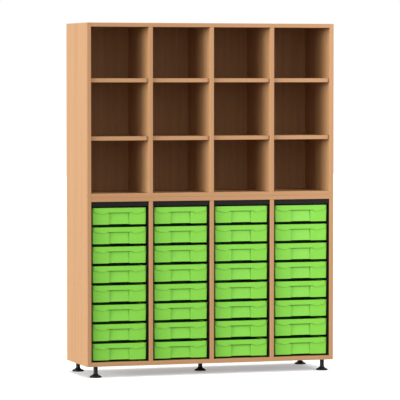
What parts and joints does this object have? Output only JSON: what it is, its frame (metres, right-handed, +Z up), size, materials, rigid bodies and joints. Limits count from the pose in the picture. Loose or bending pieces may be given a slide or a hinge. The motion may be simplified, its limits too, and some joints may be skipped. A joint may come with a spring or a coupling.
{
  "type": "drawer unit",
  "caption": "Tall free-standing cabinet with open shelf compartments above columns of pull-out plastic trays on side runners, standing on adjustable feet.",
  "frame": {"origin": "on the floor, under the middle of the cabinet's footprint", "axes": "+Z up, the front faces -Y, +X to the right seen from the front"},
  "size_m": [1.4, 0.416, 1.9],
  "materials": {
    "beech_board": "beech laminate, satin",
    "beech_back": "beech laminate, satin",
    "tray_green": "moulded polypropylene, satin",
    "runner_black": "moulded plastic, matt",
    "foot_black": "moulded plastic, satin",
    "zinc_steel": "zinc plated",
    "dowel_wood": "raw fluted beech"
  },
  "bodies": {
    "cabinet": {"left_side_panel": "beech_board", "right_side_panel": "beech_board", "top_panel": "beech_board", "bottom_panel": "beech_board", "lower_deck_board": "beech_board", "upper_deck_board": "beech_board", "lower_partition_1": "beech_board", "lower_partition_2": "beech_board", "lower_partition_3": "beech_board", "upper_partition_1": "beech_board", "upper_partition_2": "beech_board", "upper_partition_3": "beech_board", "lower_shelf_row": "beech_board", "upper_shelf_row": "beech_board", "lower_back_panel": "beech_back", "upper_back_panel": "beech_back", "left_tray_runners": "runner_black", "right_tray_runners": "runner_black", "bay_bars": "runner_black", "shelf_pins": "zinc_steel", "fixing_screws": "zinc_steel", "foot_sockets": "zinc_steel", "carcass_dowels": "dowel_wood"},
    "tray_column1_row1": {"tray_column1_row1": "tray_green"},
    "tray_column1_row2": {"tray_column1_row2": "tray_green"},
    "tray_column1_row3": {"tray_column1_row3": "tray_green"},
    "tray_column1_row4": {"tray_column1_row4": "tray_green"},
    "tray_column1_row5": {"tray_column1_row5": "tray_green"},
    "tray_column1_row6": {"tray_column1_row6": "tray_green"},
    "tray_column1_row7": {"tray_column1_row7": "tray_green"},
    "tray_column1_row8": {"tray_column1_row8": "tray_green"},
    "tray_column2_row1": {"tray_column2_row1": "tray_green"},
    "tray_column2_row2": {"tray_column2_row2": "tray_green"},
    "tray_column2_row3": {"tray_column2_row3": "tray_green"},
    "tray_column2_row4": {"tray_column2_row4": "tray_green"},
    "tray_column2_row5": {"tray_column2_row5": "tray_green"},
    "tray_column2_row6": {"tray_column2_row6": "tray_green"},
    "tray_column2_row7": {"tray_column2_row7": "tray_green"},
    "tray_column2_row8": {"tray_column2_row8": "tray_green"},
    "tray_column3_row1": {"tray_column3_row1": "tray_green"},
    "tray_column3_row2": {"tray_column3_row2": "tray_green"},
    "tray_column3_row3": {"tray_column3_row3": "tray_green"},
    "tray_column3_row4": {"tray_column3_row4": "tray_green"},
    "tray_column3_row5": {"tray_column3_row5": "tray_green"},
    "tray_column3_row6": {"tray_column3_row6": "tray_green"},
    "tray_column3_row7": {"tray_column3_row7": "tray_green"},
    "tray_column3_row8": {"tray_column3_row8": "tray_green"},
    "tray_column4_row1": {"tray_column4_row1": "tray_green"},
    "tray_column4_row2": {"tray_column4_row2": "tray_green"},
    "tray_column4_row3": {"tray_column4_row3": "tray_green"},
    "tray_column4_row4": {"tray_column4_row4": "tray_green"},
    "tray_column4_row5": {"tray_column4_row5": "tray_green"},
    "tray_column4_row6": {"tray_column4_row6": "tray_green"},
    "tray_column4_row7": {"tray_column4_row7": "tray_green"},
    "tray_column4_row8": {"tray_column4_row8": "tray_green"},
    "foot_front_left": {"foot_front_left": "foot_black"},
    "foot_front_right": {"foot_front_right": "foot_black"},
    "foot_rear_left": {"foot_rear_left": "foot_black"},
    "foot_rear_right": {"foot_rear_right": "foot_black"},
    "foot_centre": {"foot_centre": "foot_black"}
  },
  "joints": [
    {"name": "slide_column1_row1", "type": "slide", "parent": "cabinet", "child": "tray_column1_row1", "axis": [0, -1, 0], "range_m": [0, 0.27]},
    {"name": "slide_column1_row2", "type": "slide", "parent": "cabinet", "child": "tray_column1_row2", "axis": [0, -1, 0], "range_m": [0, 0.27]},
    {"name": "slide_column1_row3", "type": "slide", "parent": "cabinet", "child": "tray_column1_row3", "axis": [0, -1, 0], "range_m": [0, 0.27]},
    {"name": "slide_column1_row4", "type": "slide", "parent": "cabinet", "child": "tray_column1_row4", "axis": [0, -1, 0], "range_m": [0, 0.27]},
    {"name": "slide_column1_row5", "type": "slide", "parent": "cabinet", "child": "tray_column1_row5", "axis": [0, -1, 0], "range_m": [0, 0.27]},
    {"name": "slide_column1_row6", "type": "slide", "parent": "cabinet", "child": "tray_column1_row6", "axis": [0, -1, 0], "range_m": [0, 0.27]},
    {"name": "slide_column1_row7", "type": "slide", "parent": "cabinet", "child": "tray_column1_row7", "axis": [0, -1, 0], "range_m": [0, 0.27]},
    {"name": "slide_column1_row8", "type": "slide", "parent": "cabinet", "child": "tray_column1_row8", "axis": [0, -1, 0], "range_m": [0, 0.27]},
    {"name": "slide_column2_row1", "type": "slide", "parent": "cabinet", "child": "tray_column2_row1", "axis": [0, -1, 0], "range_m": [0, 0.27]},
    {"name": "slide_column2_row2", "type": "slide", "parent": "cabinet", "child": "tray_column2_row2", "axis": [0, -1, 0], "range_m": [0, 0.27]},
    {"name": "slide_column2_row3", "type": "slide", "parent": "cabinet", "child": "tray_column2_row3", "axis": [0, -1, 0], "range_m": [0, 0.27]},
    {"name": "slide_column2_row4", "type": "slide", "parent": "cabinet", "child": "tray_column2_row4", "axis": [0, -1, 0], "range_m": [0, 0.27]},
    {"name": "slide_column2_row5", "type": "slide", "parent": "cabinet", "child": "tray_column2_row5", "axis": [0, -1, 0], "range_m": [0, 0.27]},
    {"name": "slide_column2_row6", "type": "slide", "parent": "cabinet", "child": "tray_column2_row6", "axis": [0, -1, 0], "range_m": [0, 0.27]},
    {"name": "slide_column2_row7", "type": "slide", "parent": "cabinet", "child": "tray_column2_row7", "axis": [0, -1, 0], "range_m": [0, 0.27]},
    {"name": "slide_column2_row8", "type": "slide", "parent": "cabinet", "child": "tray_column2_row8", "axis": [0, -1, 0], "range_m": [0, 0.27]},
    {"name": "slide_column3_row1", "type": "slide", "parent": "cabinet", "child": "tray_column3_row1", "axis": [0, -1, 0], "range_m": [0, 0.27]},
    {"name": "slide_column3_row2", "type": "slide", "parent": "cabinet", "child": "tray_column3_row2", "axis": [0, -1, 0], "range_m": [0, 0.27]},
    {"name": "slide_column3_row3", "type": "slide", "parent": "cabinet", "child": "tray_column3_row3", "axis": [0, -1, 0], "range_m": [0, 0.27]},
    {"name": "slide_column3_row4", "type": "slide", "parent": "cabinet", "child": "tray_column3_row4", "axis": [0, -1, 0], "range_m": [0, 0.27]},
    {"name": "slide_column3_row5", "type": "slide", "parent": "cabinet", "child": "tray_column3_row5", "axis": [0, -1, 0], "range_m": [0, 0.27]},
    {"name": "slide_column3_row6", "type": "slide", "parent": "cabinet", "child": "tray_column3_row6", "axis": [0, -1, 0], "range_m": [0, 0.27]},
    {"name": "slide_column3_row7", "type": "slide", "parent": "cabinet", "child": "tray_column3_row7", "axis": [0, -1, 0], "range_m": [0, 0.27]},
    {"name": "slide_column3_row8", "type": "slide", "parent": "cabinet", "child": "tray_column3_row8", "axis": [0, -1, 0], "range_m": [0, 0.27]},
    {"name": "slide_column4_row1", "type": "slide", "parent": "cabinet", "child": "tray_column4_row1", "axis": [0, -1, 0], "range_m": [0, 0.27]},
    {"name": "slide_column4_row2", "type": "slide", "parent": "cabinet", "child": "tray_column4_row2", "axis": [0, -1, 0], "range_m": [0, 0.27]},
    {"name": "slide_column4_row3", "type": "slide", "parent": "cabinet", "child": "tray_column4_row3", "axis": [0, -1, 0], "range_m": [0, 0.27]},
    {"name": "slide_column4_row4", "type": "slide", "parent": "cabinet", "child": "tray_column4_row4", "axis": [0, -1, 0], "range_m": [0, 0.27]},
    {"name": "slide_column4_row5", "type": "slide", "parent": "cabinet", "child": "tray_column4_row5", "axis": [0, -1, 0], "range_m": [0, 0.27]},
    {"name": "slide_column4_row6", "type": "slide", "parent": "cabinet", "child": "tray_column4_row6", "axis": [0, -1, 0], "range_m": [0, 0.27]},
    {"name": "slide_column4_row7", "type": "slide", "parent": "cabinet", "child": "tray_column4_row7", "axis": [0, -1, 0], "range_m": [0, 0.27]},
    {"name": "slide_column4_row8", "type": "slide", "parent": "cabinet", "child": "tray_column4_row8", "axis": [0, -1, 0], "range_m": [0, 0.27]},
    {"name": "level_front_left", "type": "slide", "parent": "cabinet", "child": "foot_front_left", "axis": [0, 0, -1], "range_m": [0, 0.012]},
    {"name": "level_front_right", "type": "slide", "parent": "cabinet", "child": "foot_front_right", "axis": [0, 0, -1], "range_m": [0, 0.012]},
    {"name": "level_rear_left", "type": "slide", "parent": "cabinet", "child": "foot_rear_left", "axis": [0, 0, -1], "range_m": [0, 0.012]},
    {"name": "level_rear_right", "type": "slide", "parent": "cabinet", "child": "foot_rear_right", "axis": [0, 0, -1], "range_m": [0, 0.012]},
    {"name": "level_centre", "type": "slide", "parent": "cabinet", "child": "foot_centre", "axis": [0, 0, -1], "range_m": [0, 0.012]}
  ]
}
